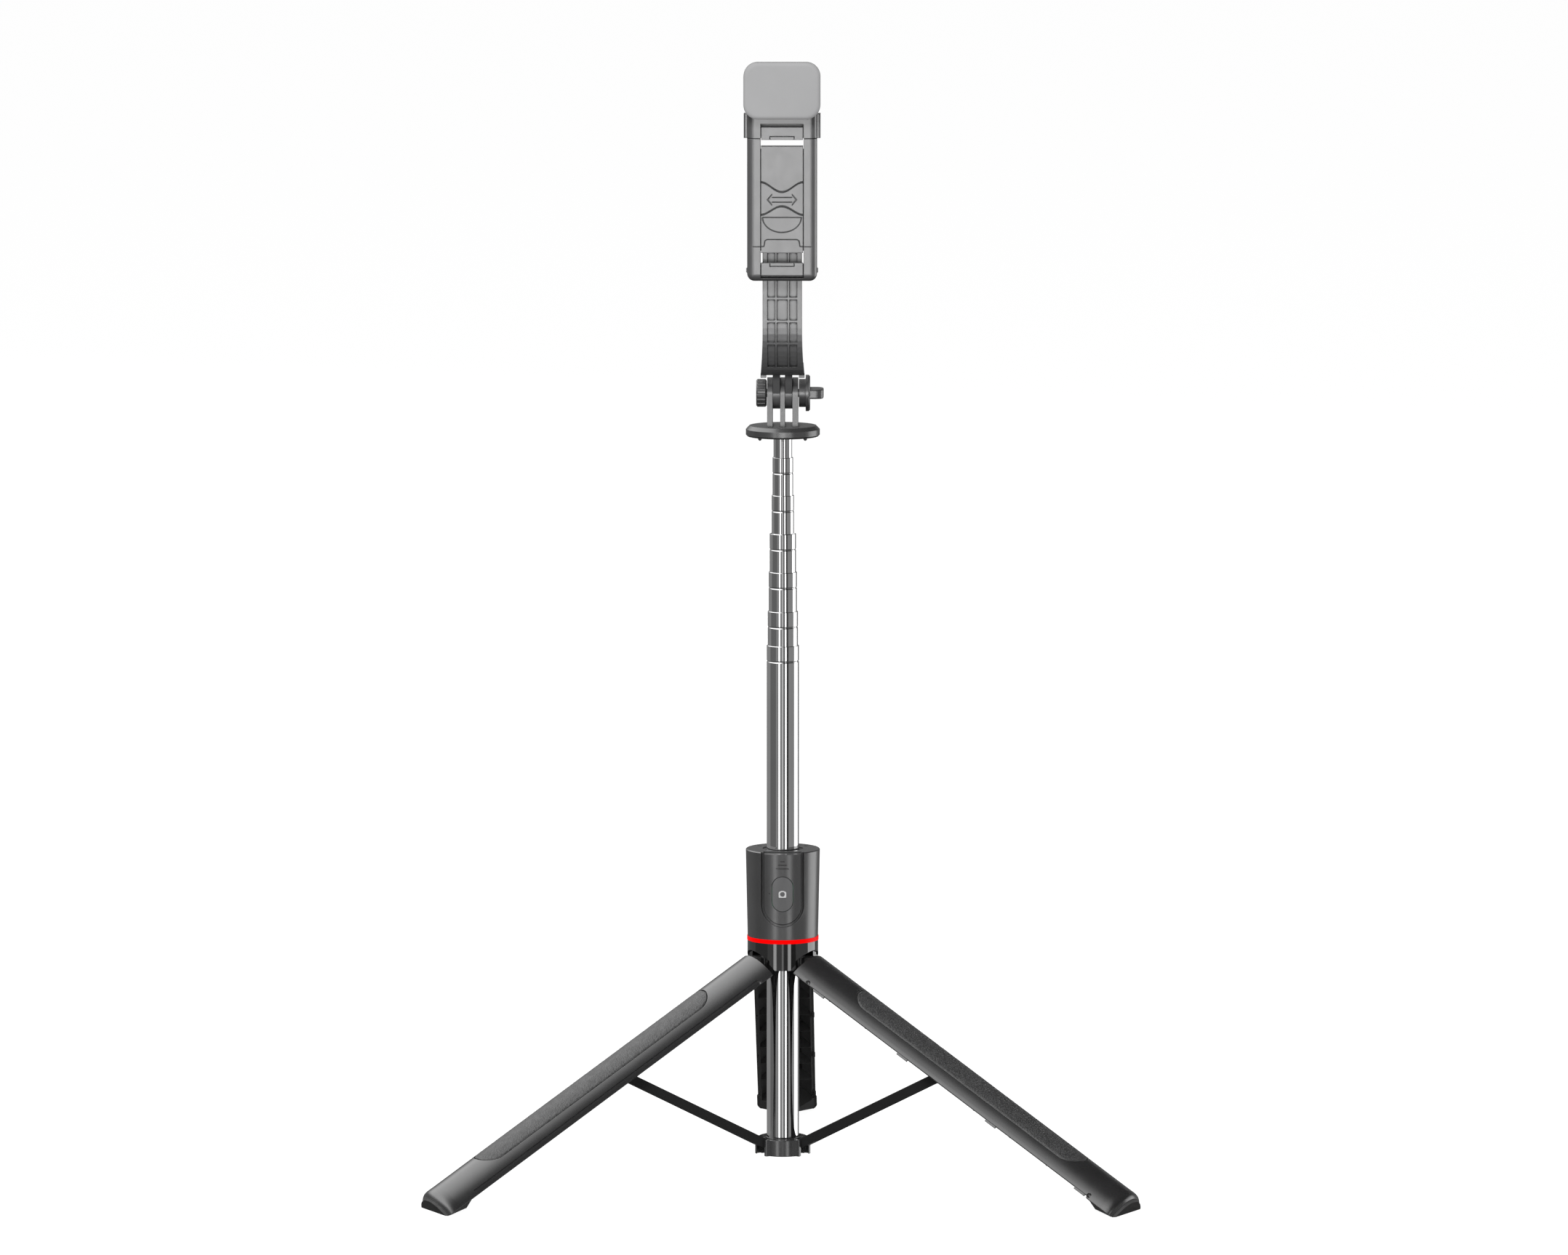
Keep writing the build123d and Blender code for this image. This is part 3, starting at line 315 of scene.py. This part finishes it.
MATERIALS = {
    # Housing edges painted four times paler, a painted highlight.
    "housing_plastic": moulded("housing_plastic", 0.034, 0.29, specular=1.0, painted_edge_tone=4.0),
    "accent_red": accent_red("accent_red"),
    "gloss_black": gloss_black("gloss_black"),
    "steel": steel("steel"),
    "bush_plastic": moulded("bush_plastic", 0.02, 0.45),
    "chrome": chrome("chrome"),
    "collar_plastic": moulded("collar_plastic", 0.030, 0.22, specular=0.8),
    "leg_plastic": moulded("leg_plastic", 0.018, 0.25, specular=0.9),
    "grip_texture": grip_leather("grip_texture"),
    "foot_rubber": rubber("foot_rubber", 0.05),
    "strut_black": moulded("strut_black", 0.010, 0.32, specular=0.3),
    "head_plastic": moulded("head_plastic", 0.032, 0.28, specular=0.85),
    # Clamp edges painted darker, a painted shade.
    "clamp_plastic": moulded("clamp_plastic", 0.065, 0.31, specular=1.0, edge=0.0006, painted_edge_tone=0.2),
    "pad_rubber": rubber("pad_rubber", 0.02),
    "diffuser": frosted("diffuser"),
    "circuit": circuit("circuit"),
    "cell_wrap": cell_wrap("cell_wrap"),
    "button_plastic": moulded("button_plastic", 0.085, 0.36, edge=0.0002),
}


class LegFrame:
    """Turns a folded leg's coordinates (mm) into the row frame of the open leg."""

    def __init__(self, number):
        joint = JOINTS[f"leg_{number}_fold"]
        self.pin = Vector(joint["pos_m"])
        self.across = Vector(joint["axis"])
        outward = Vector((self.pin.x, self.pin.y, 0)).normalized()
        up = Vector((0, 0, 1))
        self.along = math.sin(LEG_OPEN) * outward - math.cos(LEG_OPEN) * up
        self.away = math.cos(LEG_OPEN) * outward + math.sin(LEG_OPEN) * up
        self.pin_radius = math.hypot(self.pin.x, self.pin.y) / MM

    def point(self, out, side, down):
        beyond = out - self.pin_radius
        return self.pin + MM * (beyond * self.away + side * self.across + down * self.along)

    def hollow(self, s):
        """Mask that is 1 on the concave inner side of the shell, where moulded paints the shell dark as shade."""
        place = s.add("ShaderNodeTexCoord").outputs["Object"]
        centre = self.pin - MM * self.pin_radius * self.away
        reach = s.math("SUBTRACT", s.dot(place, self.away), centre.dot(self.away))
        side = s.math("SUBTRACT", s.dot(place, self.across), centre.dot(self.across))
        squares = s.math("ADD", s.math("MULTIPLY", reach, reach), s.math("MULTIPLY", side, side))
        radius = s.math("SQRT", squares)
        edge = CAVITY_RADIUS * MM
        return s.ramp(radius, edge, edge - 0.25 * MM)


def paint_frame():
    for part in frame["record"]["subparts"]:
        slots = NODES[part["node"]].data.materials
        slots.clear()
        slots.append(MATERIALS[part["material_slot"]])
    for number in (1, 2, 3):
        hollow = LegFrame(number).hollow
        # Each leg shell's inside is painted dark as shade through the hollow mask.
        shell = moulded(f"leg_plastic_{number}", 0.018, 0.25, specular=0.9, hollow=hollow)
        NODES[f"leg_{number}_shell"].data.materials[0] = shell


# ---------------------------------------------------------------- mesh helpers

def piece(name, mesh, body, slot, smooth=True):
    obj = bpy.data.objects.new(name, mesh)
    bpy.context.scene.collection.objects.link(obj)
    for face in mesh.polygons:
        face.use_smooth = smooth
    mesh.materials.clear()
    mesh.materials.append(MATERIALS[slot])
    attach(obj, body)
    return obj


def mesh_from(name, points, faces):
    mesh = bpy.data.meshes.new(name)
    mesh.from_pydata([tuple(p) for p in points], [], faces)
    mesh.validate()
    bm = bmesh.new()
    bm.from_mesh(mesh)
    bmesh.ops.recalc_face_normals(bm, faces=bm.faces)
    bm.to_mesh(mesh)
    bm.free()
    return mesh


def turned_mesh(name, outline, steps=128):
    """Closed outline of (radius, z) points in metres, turned about the mast's axis."""
    points = []
    faces = []
    count = len(outline)
    for step in range(steps):
        angle = 2 * math.pi * step / steps
        for radius, z in outline:
            points.append((radius * math.cos(angle), radius * math.sin(angle), z))
    for step in range(steps):
        after = (step + 1) % steps
        for k in range(count):
            ahead = (k + 1) % count
            faces.append((step * count + k, after * count + k, after * count + ahead, step * count + ahead))
    return mesh_from(name, points, faces)


# ---------------------------------------------------------------- mast

def tube_outline(radius, wall, low, high, grooved):
    """Tube wall with a rolled groove and a rolled upper lip."""
    outline = [(radius - wall, low), (radius, low), (radius, low + 0.1 * MM)]
    if grooved:
        middle = high - 9.5 * MM
        half = 0.75 * MM
        outline.append((radius, middle - half - 0.1 * MM))
        for k in range(9):
            share = k / 8
            dip = 0.30 * MM * math.sin(math.pi * share) ** 2
            outline.append((radius - dip, middle - half + 2 * half * share))
        outline.append((radius, middle + half + 0.1 * MM))
    lip = 0.28 * MM
    outline.append((radius, high - lip - 0.1 * MM))
    for k in range(6):
        angle = math.pi / 2 * k / 5
        outline.append((radius - lip + lip * math.cos(angle), high - lip + lip * math.sin(angle)))
    outline.append((radius - wall, high - 0.05 * MM))
    return outline


def build_mast():
    for number in range(1, 8):
        node = f"mast_tube_{number}"
        low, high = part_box(node)
        outline = tube_outline(high.x, 0.4 * MM, low.z, high.z, number < 7)
        body = "mast" if number == 1 else f"section_{number}"
        tube = piece(f"chrome_tube_{number}", turned_mesh(node, outline), body, "chrome")
        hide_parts(node)


# ---------------------------------------------------------------- legs

def stadium_half(down):
    """Half width of the grip pad at a place along the leg."""
    reach = min(down - GRIP_START, GRIP_END - down)
    if reach >= GRIP_HALF_WIDTH:
        return GRIP_HALF_WIDTH
    return math.sqrt(max(0.0, GRIP_HALF_WIDTH ** 2 - (GRIP_HALF_WIDTH - reach) ** 2))


def pebble(side, down):
    """Height of the leather pebbles, 0 in the creases and 1 on top."""
    spot = Vector((side / 1.15, down / 1.35, 0.0))
    distances, _ = noise.voronoi(spot)
    crease = min(1.0, (distances[1] - distances[0]) / 0.35)
    return crease * (0.8 + 0.2 * noise.noise(spot * 2.3))


def grip_mesh(number):
    leg = LegFrame(number)
    rows = int((GRIP_END - GRIP_START) / GRIP_STEP)
    columns = int(2 * GRIP_HALF_WIDTH / GRIP_STEP)
    points = []
    faces = []
    for i in range(rows + 1):
        down = GRIP_START + (GRIP_END - GRIP_START) * i / rows
        half = max(stadium_half(down), 0.2)
        for j in range(columns + 1):
            side = half * (2 * j / columns - 1)
            rim = min(half - abs(side), down - GRIP_START, GRIP_END - down)
            soften = min(1.0, max(0.0, rim) / RIM_WIDTH)
            drop = RIM_DROP * (1 - math.sqrt(max(0.0, 1 - (1 - soften) ** 2)))
            height = GRIP_RADIUS - PEBBLE_HEIGHT - drop + PEBBLE_HEIGHT * pebble(side, down) * soften
            points.append(leg.point(math.sqrt(height ** 2 - side ** 2), side, down))
    for i in range(rows):
        for j in range(columns):
            a = i * (columns + 1) + j
            faces.append((a, a + 1, a + columns + 2, a + columns + 1))
    top_count = len(points)
    # skirt down into the shell's recess, and a floor that closes the pad
    border = list(range(columns + 1))
    border += [i * (columns + 1) + columns for i in range(1, rows + 1)]
    border += [rows * (columns + 1) + j for j in range(columns - 1, -1, -1)]
    border += [i * (columns + 1) for i in range(rows - 1, 0, -1)]
    for index in border:
        points.append(points[index] - (GRIP_RECESS - GRIP_SINK) * MM * leg.away)
    count = len(border)
    for k in range(count):
        after = (k + 1) % count
        faces.append((border[k], border[after], top_count + after, top_count + k))
    for i in range(rows):
        left_low = top_count + (count - i) % count if i else top_count
        left_high = top_count + count - (i + 1)
        right_low = top_count + columns + i
        right_high = top_count + columns + i + 1
        if i == 0:
            faces.append(tuple(top_count + j for j in range(columns + 1)) + (right_high, left_high))
        elif i < rows - 1:
            faces.append((left_low, right_low, right_high, left_high))
        else:
            last = top_count + columns + rows
            faces.append((left_low, right_low) + tuple(last + j for j in range(columns + 1)))
    return mesh_from(f"leather_grip_{number}", points, faces)


def build_grips():
    for number in (1, 2, 3):
        grip = piece(f"leather_grip_{number}", grip_mesh(number), f"leg_{number}", "grip_texture")
        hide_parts(f"leg_{number}_grip")


# ---------------------------------------------------------------- fill light

def rounded_loop(half_x, half_z, corner, steps=10):
    """Outline of a rounded rectangle as (x, z) points."""
    loop = []
    for quarter, (sx, sz) in enumerate(((1, 1), (-1, 1), (-1, -1), (1, -1))):
        for k in range(steps + 1):
            angle = math.pi / 2 * (quarter + k / steps)
            x = sx * (half_x - corner) + corner * math.cos(angle)
            z = sz * (half_z - corner) + corner * math.sin(angle)
            loop.append((x, z))
    return loop


def build_diffuser():
    """Frosted front of the fill light: flat, with a softly rounded edge and a faint crown."""
    low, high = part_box("lamp_diffuser")
    centre = (low + high) / 2
    half_x = (high.x - low.x) / 2
    half_z = (high.z - low.z) / 2
    corner = 8.6 * MM
    edge = 2.4 * MM
    crown = 0.12 * MM
    depth = high.y - low.y
    rings = [(0.0, depth)]
    for k in range(9):
        angle = math.pi / 2 * k / 8
        rings.append((edge * (1 - math.cos(angle)), edge + crown - edge * math.sin(angle)))
    for share in (0.15, 0.35, 0.6, 0.85, 0.97):
        inset = edge + share * (half_z - edge)
        rings.append((inset, crown * (1 - share) ** 2))
    points = []
    faces = []
    for inset, back in rings:
        soft = min(max(0.6 * MM, corner - 0.6 * inset), half_z - inset - 0.1 * MM)
        for x, z in rounded_loop(half_x - inset, half_z - inset, soft):
            points.append((centre.x + x, low.y + back, centre.z + z))
    count = len(points) // len(rings)
    for ring in range(len(rings) - 1):
        for k in range(count):
            after = (k + 1) % count
            here = ring * count
            ahead = here + count
            faces.append((here + k, here + after, ahead + after, ahead + k))
    faces.append(tuple((len(rings) - 1) * count + k for k in range(count)))
    faces.append(tuple(reversed(range(count))))
    mesh = mesh_from("light_diffuser", points, faces)
    diffuser = piece("light_diffuser", mesh, "lamp", "diffuser")
    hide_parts("lamp_diffuser")


# ---------------------------------------------------------------- remote

# Straight sides of the camera pictogram: direction that each side faces, and its distance from the middle
ICON_SIDES = ((1, 0, 2.3), (-1, 0, 2.3), (0, -1, 2.05), (0, 1, 2.15), (0.5, 0.866, 2.3), (-0.5, 0.866, 2.3))
ICON_LENS = 1.45
ICON_STEPS = 96
ICON_LIFT = 0.03


def icon_reach(across, up):
    """Distance from the middle to the pictogram's softened outline in a direction."""
    total = 0.0
    for side_x, side_z, distance in ICON_SIDES:
        facing = max(0.0, side_x * across + side_z * up)
        total += (facing / distance) ** 12
    return total ** (-1 / 12)


def build_icon():
    """Pale camera pictogram on the shutter button: a rounded body with a lens opening."""
    low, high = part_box("shutter_button")
    centre_z = (low.z + high.z) / 2
    radius = -low.y / MM + ICON_LIFT
    points = []
    faces = []
    for step in range(ICON_STEPS):
        angle = 2 * math.pi * step / ICON_STEPS
        across = math.cos(angle)
        up = math.sin(angle)
        for reach in (ICON_LENS, icon_reach(across, up)):
            x = reach * across
            points.append((x * MM, -math.sqrt(radius ** 2 - x ** 2) * MM, centre_z + reach * up * MM))
        after = (step + 1) % ICON_STEPS
        faces.append((2 * step, 2 * step + 1, 2 * after + 1, 2 * after))
    obj = piece("camera_icon", mesh_from("camera_icon", points, faces), "shutter_button", "button_plastic")
    obj.data.materials[0] = printed("pictogram_ink")


# ---------------------------------------------------------------- stage

def build_floor():
    mesh = bpy.data.meshes.new("floor")
    reach = 20.0
    corners = [(-reach, -reach, 0), (reach, -reach, 0), (reach, reach, 0), (-reach, reach, 0)]
    mesh.from_pydata(corners, [], [(0, 1, 2, 3)])
    floor = bpy.data.objects.new("floor", mesh)
    bpy.context.scene.collection.objects.link(floor)
    floor.visible_glossy = False
    s = Shader("pale_floor")
    s.set(Base_Color=grey(0.18), Roughness=1.0, Specular_IOR_Level=0.0)
    seen = s.add("ShaderNodeLightPath").outputs["Is Camera Ray"]
    glow = s.add("ShaderNodeEmission", Color=grey(1.0), Strength=0.97).outputs[0]
    both = s.nodes.new("ShaderNodeAddShader")
    s.links.new(s.surface.outputs[0], both.inputs[0])
    s.links.new(glow, both.inputs[1])
    mix = s.nodes.new("ShaderNodeMixShader")
    s.links.new(seen, mix.inputs[0])
    s.links.new(s.surface.outputs[0], mix.inputs[1])
    s.links.new(both.outputs[0], mix.inputs[2])
    s.links.new(mix.outputs[0], s.nodes["Material Output"].inputs["Surface"])
    mesh.materials.append(s.material)


# Soft boxes and dark flags standing around the object. Each has the bearing of its middle in degrees
# from straight ahead of the front, positive to the right, its width in degrees and its brightness.
# Polished tubes show them as upright strips.
STUDIO_BOXES = (
    (-75, 50, 0.12),
    (-25, 10, 1.8),
    (0, 5, 0.8),
    (10, 10, 0.1),
    (22, 10, 1.8),
    (35, 15, 0.05),
    (110, 40, 1.8),
)
STUDIO_WALL = 0.22
BOX_EDGE = 2
CEILING_LEFT = 1.9
CEILING_RIGHT = 0.02
AMBIENT = 0.09


class Studio:
    """Surroundings: white backdrop to the camera, soft even ambient, and soft boxes for reflections."""

    def __init__(self):
        self.world = bpy.data.worlds.new("studio")
        self.world.use_nodes = True
        self.world.cycles.sampling_method = "NONE"
        self.nodes = self.world.node_tree.nodes
        self.links = self.world.node_tree.links

    def math(self, operation, a, b=None):
        node = self.nodes.new("ShaderNodeMath")
        node.operation = operation
        for index, value in enumerate((a, b)):
            if hasattr(value, "is_output"):
                self.links.new(value, node.inputs[index])
            elif value is not None:
                node.inputs[index].default_value = value
        return node.outputs[0]

    def span(self, value, low, high, to_low=0.0, to_high=1.0):
        node = self.nodes.new("ShaderNodeMapRange")
        node.interpolation_type = "SMOOTHSTEP" if to_high < to_low else "LINEAR"
        for key, number in (("From Min", low), ("From Max", high), ("To Min", to_low), ("To Max", to_high)):
            node.inputs[key].default_value = number
        self.links.new(value, node.inputs["Value"])
        return node.outputs[0]

    def mixed(self, factor, first, second):
        node = self.nodes.new("ShaderNodeMix")
        node.data_type = "RGBA"
        self.links.new(factor, node.inputs["Factor"])
        for index, colour in ((6, first), (7, second)):
            if hasattr(colour, "is_output"):
                self.links.new(colour, node.inputs[index])
            else:
                node.inputs[index].default_value = grey(colour)
        return node.outputs[2]

    def boxes(self, x, y):
        turn = self.math("ARCTAN2", x, self.math("MULTIPLY", y, -1.0))
        around = STUDIO_WALL
        for middle, width, level in STUDIO_BOXES:
            offset = self.math("ABSOLUTE", self.math("SUBTRACT", turn, math.radians(middle)))
            inner = math.radians((width - BOX_EDGE) / 2)
            outer = math.radians((width + BOX_EDGE) / 2)
            around = self.mixed(self.span(offset, inner, outer, 1.0, 0.0), around, level)
        return around

    def build(self):
        split = self.nodes.new("ShaderNodeSeparateXYZ")
        self.links.new(self.nodes.new("ShaderNodeTexCoord").outputs["Generated"], split.inputs[0])
        x, y, z = split.outputs
        around = self.boxes(x, y)
        ceiling = self.span(x, -0.42, 0.14, CEILING_LEFT, CEILING_RIGHT)
        around = self.mixed(self.span(z, 0.2, 0.5), around, ceiling)
        around = self.mixed(self.span(z, -0.32, -0.55), around, 0.05)
        path = self.nodes.new("ShaderNodeLightPath")
        around = self.mixed(path.outputs["Is Diffuse Ray"], around, AMBIENT)
        around = self.mixed(path.outputs["Is Camera Ray"], around, 1.0)
        self.links.new(around, self.nodes["Background"].inputs["Color"])
        bpy.context.scene.world = self.world


def area_light(name, place, aim, size, power):
    light = bpy.data.lights.new(name, "AREA")
    light.shape = "RECTANGLE"
    light.size = size[0]
    light.size_y = size[1]
    light.energy = power
    obj = bpy.data.objects.new(name, light)
    bpy.context.scene.collection.objects.link(obj)
    obj.visible_glossy = False
    obj.location = place
    obj.rotation_euler = (Vector(aim) - Vector(place)).to_track_quat("-Z", "Y").to_euler()
    return obj


def link_light(light, slots):
    """Let a light reach only the nodes of some material slots."""
    lit = bpy.data.collections.new(f"{light.name}_lit")
    for part in frame["record"]["subparts"]:
        if part["material_slot"] in slots:
            lit.objects.link(NODES[part["node"]])
    light.light_linking.receiver_collection = lit


def build_lights():
    area_light("key", (-0.5, -3.2, 2.5), (0, 0, 0.35), (1.0, 1.0), 195)
    area_light("top", (-0.6, -0.4, 3.0), (0, 0, 0.3), (2.0, 2.0), 10)
    area_light("back", (1.4, 3.4, 2.0), (0, 0, 0.35), (1.6, 1.6), 110)
    front = area_light("front", (0, -3.2, 0.56), (0, 0, 0.56), (1.3, 1.08), 14)
    front.visible_glossy = True
    link_light(front, ("clamp_plastic", "head_plastic"))


def build_camera():
    data = bpy.data.cameras.new("camera")
    camera = bpy.data.objects.new("camera", data)
    bpy.context.scene.collection.objects.link(camera)
    bpy.context.scene.camera = camera
    to_side = CAMERA_DISTANCE * math.sin(CAMERA_TURN)
    to_front = CAMERA_DISTANCE * math.cos(CAMERA_TURN)
    place = Vector((to_side, -to_front, CAMERA_HEIGHT))
    camera.location = place
    camera.rotation_euler = (CAMERA_AIM - place).to_track_quat("-Z", "Y").to_euler()
    data.sensor_width = SENSOR
    data.lens = SENSOR * (CAMERA_AIM - place).length / IMAGE_WIDTH
    data.clip_end = 60.0


build_camera()
paint_frame()
build_mast()
build_grips()
build_diffuser()
build_icon()
build_floor()
Studio().build()
build_lights()
bpy.context.scene.view_settings.view_transform = "Standard"
